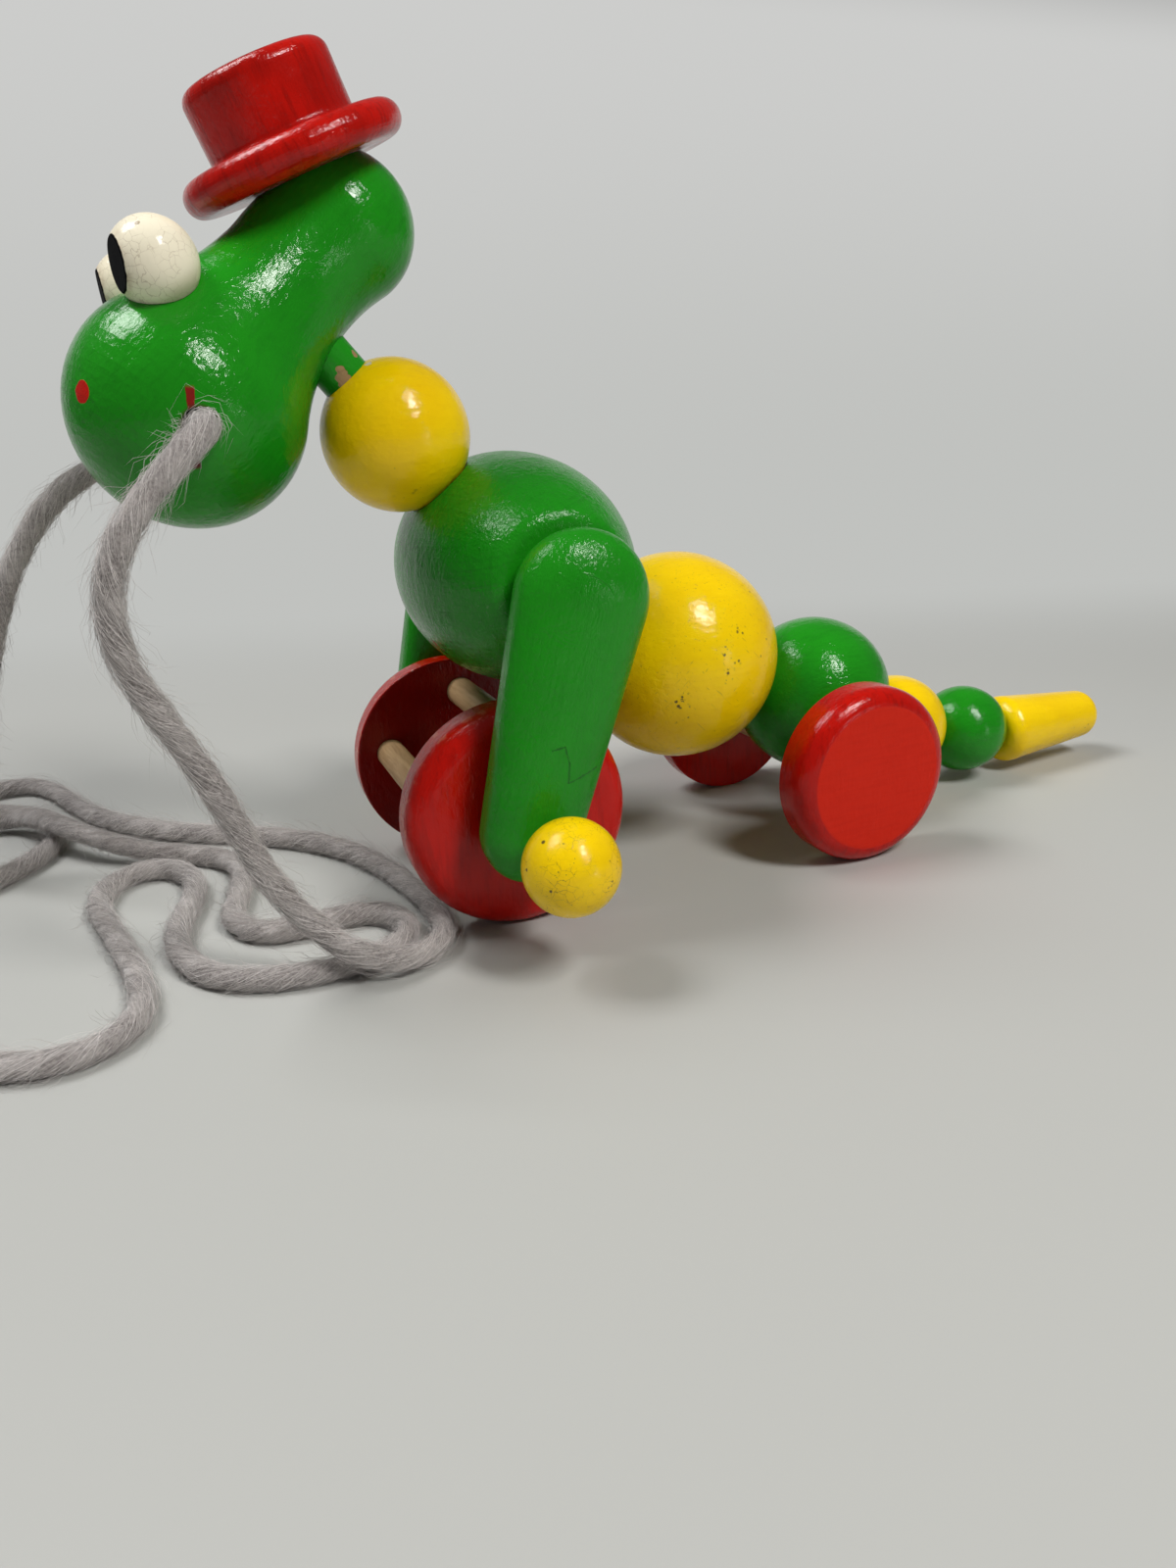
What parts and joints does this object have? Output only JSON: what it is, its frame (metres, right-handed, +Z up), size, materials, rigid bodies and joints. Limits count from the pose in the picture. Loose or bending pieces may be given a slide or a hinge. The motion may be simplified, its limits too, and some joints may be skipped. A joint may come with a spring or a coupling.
{
  "type": "wheeled pull toy",
  "caption": "Turned and painted wooden animal on wheels, with a brimmed hat, ball eyes, a bead body and tail, a rolling dowel cage in front and a wool pull cord through the snout.",
  "frame": {"origin": "on the floor, under the middle of the toy's length and width, taken without its pull cord", "axes": "+X runs forward to the snout, +Y to the toy's left, +Z up"},
  "size_m": [0.397, 0.2441, 0.2114],
  "materials": {
    "green_paint": "glossy green enamel over wood",
    "red_paint": "glossy red enamel over wood",
    "yellow_paint": "glossy yellow enamel over wood",
    "ivory_paint": "crazed ivory enamel over wood",
    "natural_wood": "bare smooth wood",
    "wool_yarn": "loosely spun wool",
    "elastic_string": "woven elastic"
  },
  "bodies": {
    "front_frame": {"torso": "green_paint", "shoulder_dowels": "natural_wood", "arm_left": "green_paint", "arm_right": "green_paint", "neck_dowel": "green_paint", "body_string": "elastic_string", "pull_cord_near": "wool_yarn", "pull_cord_far": "wool_yarn", "cord_knot": "wool_yarn"},
    "neck_ball": {"neck_ball": "yellow_paint"},
    "head": {"head": "green_paint", "hat": "red_paint", "hat_dowel": "natural_wood", "eye_left": "ivory_paint", "eye_right": "ivory_paint", "eye_dowels": "natural_wood", "cord_in_head": "wool_yarn"},
    "front_roller": {"front_axle": "natural_wood", "front_wheel_left": "red_paint", "front_wheel_right": "red_paint", "cage_dowels": "natural_wood", "hand_ball_left": "yellow_paint", "hand_ball_right": "yellow_paint"},
    "body_ball": {"body_ball": "yellow_paint"},
    "hip": {"hip_ball": "green_paint"},
    "rear_roller": {"rear_axle": "natural_wood", "rear_wheel_left": "red_paint", "rear_wheel_right": "red_paint"},
    "tail_large": {"tail_ball_large": "yellow_paint"},
    "tail_small": {"tail_ball_small": "green_paint"},
    "tail_tip": {"tail_tip": "yellow_paint"}
  },
  "joints": [
    {"name": "neck_ball_spin", "type": "hinge", "parent": "front_frame", "child": "neck_ball", "pos_m": [0.08718, 0, 0.12507], "axis": [0.6225, 0, 0.7826], "continuous": true},
    {"name": "head_turn", "type": "hinge", "parent": "front_frame", "child": "head", "pos_m": [0.08718, 0, 0.12507], "axis": [0.6225, 0, 0.7826], "range_deg": [-49, 31], "deforming": ["pull_cord_near", "pull_cord_far"]},
    {"name": "front_roll", "type": "hinge", "parent": "front_frame", "child": "front_roller", "pos_m": [0.07228, 0, 0.03], "axis": [0, 1, 0], "continuous": true},
    {"name": "body_sway", "type": "hinge", "parent": "front_frame", "child": "body_ball", "pos_m": [0.00907, 0, 0.05856], "axis": [0, 0, 1], "range_deg": [-12, 12], "deforming": ["body_string"]},
    {"name": "hip_sway", "type": "hinge", "parent": "body_ball", "child": "hip", "pos_m": [-0.03972, 0, 0.04], "axis": [0, 0, 1], "range_deg": [-17.3, 12.7], "deforming": ["body_string"]},
    {"name": "rear_roll", "type": "hinge", "parent": "hip", "child": "rear_roller", "pos_m": [-0.03002, 0.00039, 0.026], "axis": [-0.0401, 0.9992, 0], "continuous": true},
    {"name": "tail_large_sway", "type": "hinge", "parent": "hip", "child": "tail_large", "pos_m": [-0.07375, -0.00137, 0.02361], "axis": [0, 0, 1], "range_deg": [-22, 22], "deforming": ["body_string"]},
    {"name": "tail_small_sway", "type": "hinge", "parent": "tail_large", "child": "tail_small", "pos_m": [-0.10387, -0.00258, 0.0178], "axis": [0, 0, 1], "range_deg": [-25, 25], "deforming": ["body_string"]},
    {"name": "tail_tip_sway", "type": "hinge", "parent": "tail_small", "child": "tail_tip", "pos_m": [-0.10387, -0.00258, 0.0178], "axis": [0, 0, 1], "range_deg": [-28, 28], "deforming": ["body_string"]}
  ]
}
